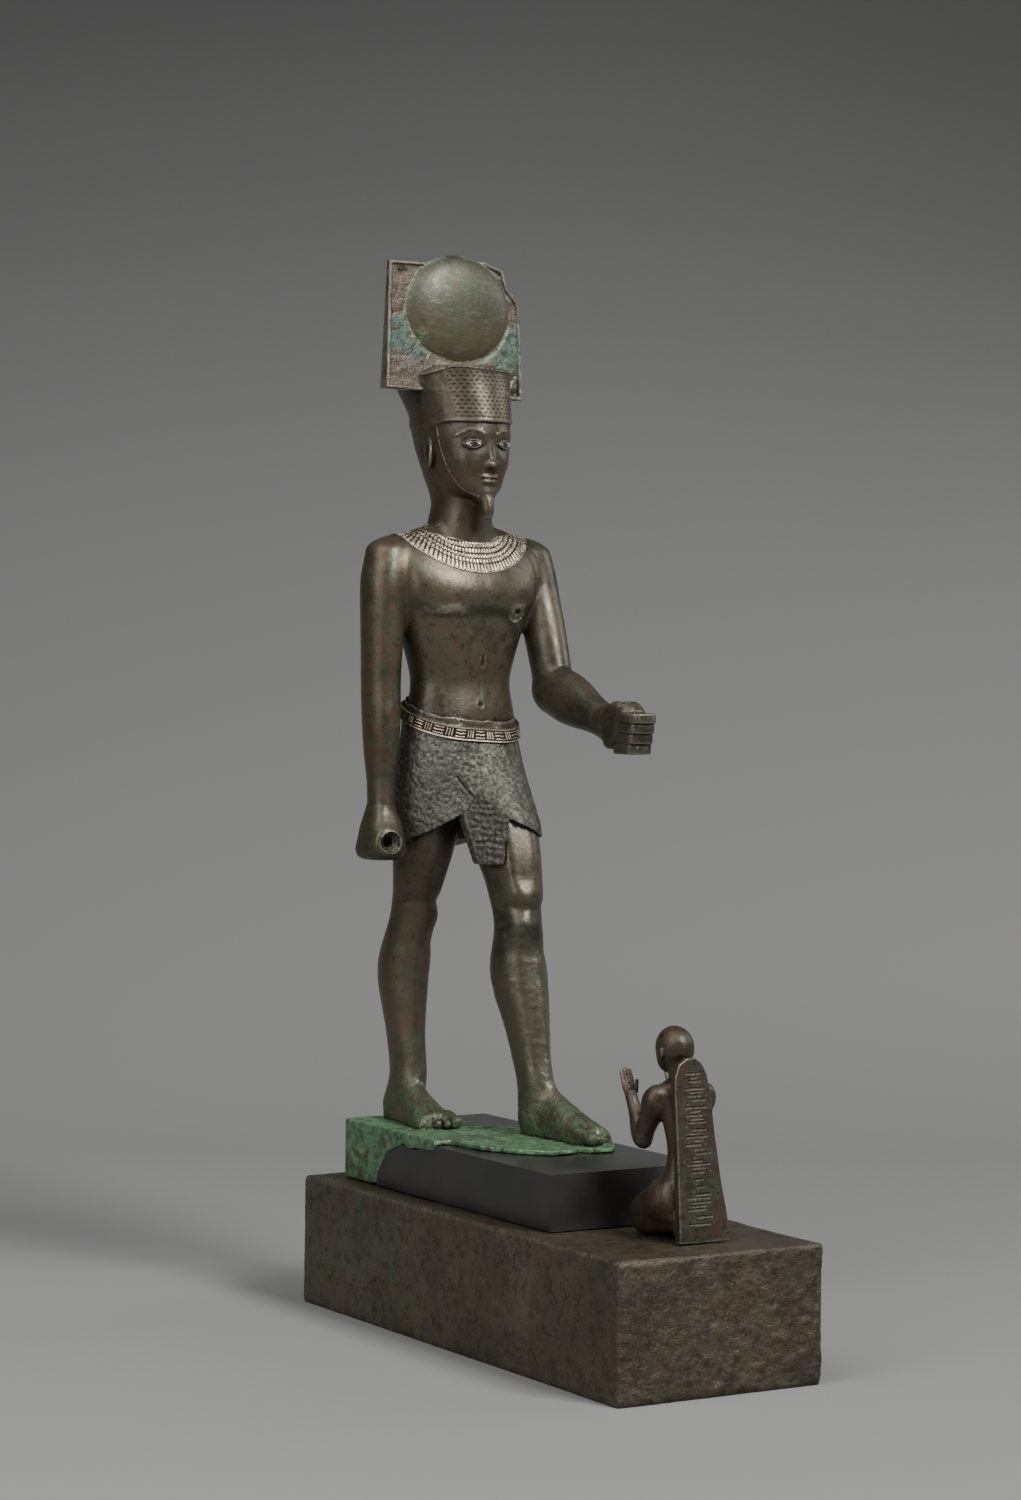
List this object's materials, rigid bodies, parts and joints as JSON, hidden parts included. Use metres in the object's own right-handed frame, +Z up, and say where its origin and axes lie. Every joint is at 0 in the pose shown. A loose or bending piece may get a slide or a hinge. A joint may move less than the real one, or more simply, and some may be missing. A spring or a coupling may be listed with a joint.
{
  "type": "donor statuette",
  "caption": "Bronze group of a striding, crowned god on a mount block and a small kneeling donor, on one long plinth.",
  "frame": {"origin": "middle of the plinth's underside", "axes": "+Z up; the god faces -Y and the donor faces +Y; +X is the god's left, across the plinth"},
  "size_m": [0.106, 0.283, 0.5044],
  "materials": {
    "worn_bronze": "worn dark brown bronze with grey-green patches, pitted at the front end",
    "black_mount": "satin near-black",
    "dark_bronze": "dark polished patina with green corrosion towards the feet and on the broken base",
    "gold_inlay": "pale worn gold, chased",
    "silver_inlay": "pale inlay with a dark pupil",
    "brown_bronze": "reddish-brown patina"
  },
  "bodies": {
    "root": {"plinth": "worn_bronze", "mount_block": "black_mount", "god_figure": "dark_bronze", "collar_inlay": "gold_inlay", "belt_inlay": "gold_inlay", "right_eye_inlay": "silver_inlay", "left_eye_inlay": "silver_inlay", "donor_figure": "brown_bronze"}
  },
  "joints": []
}
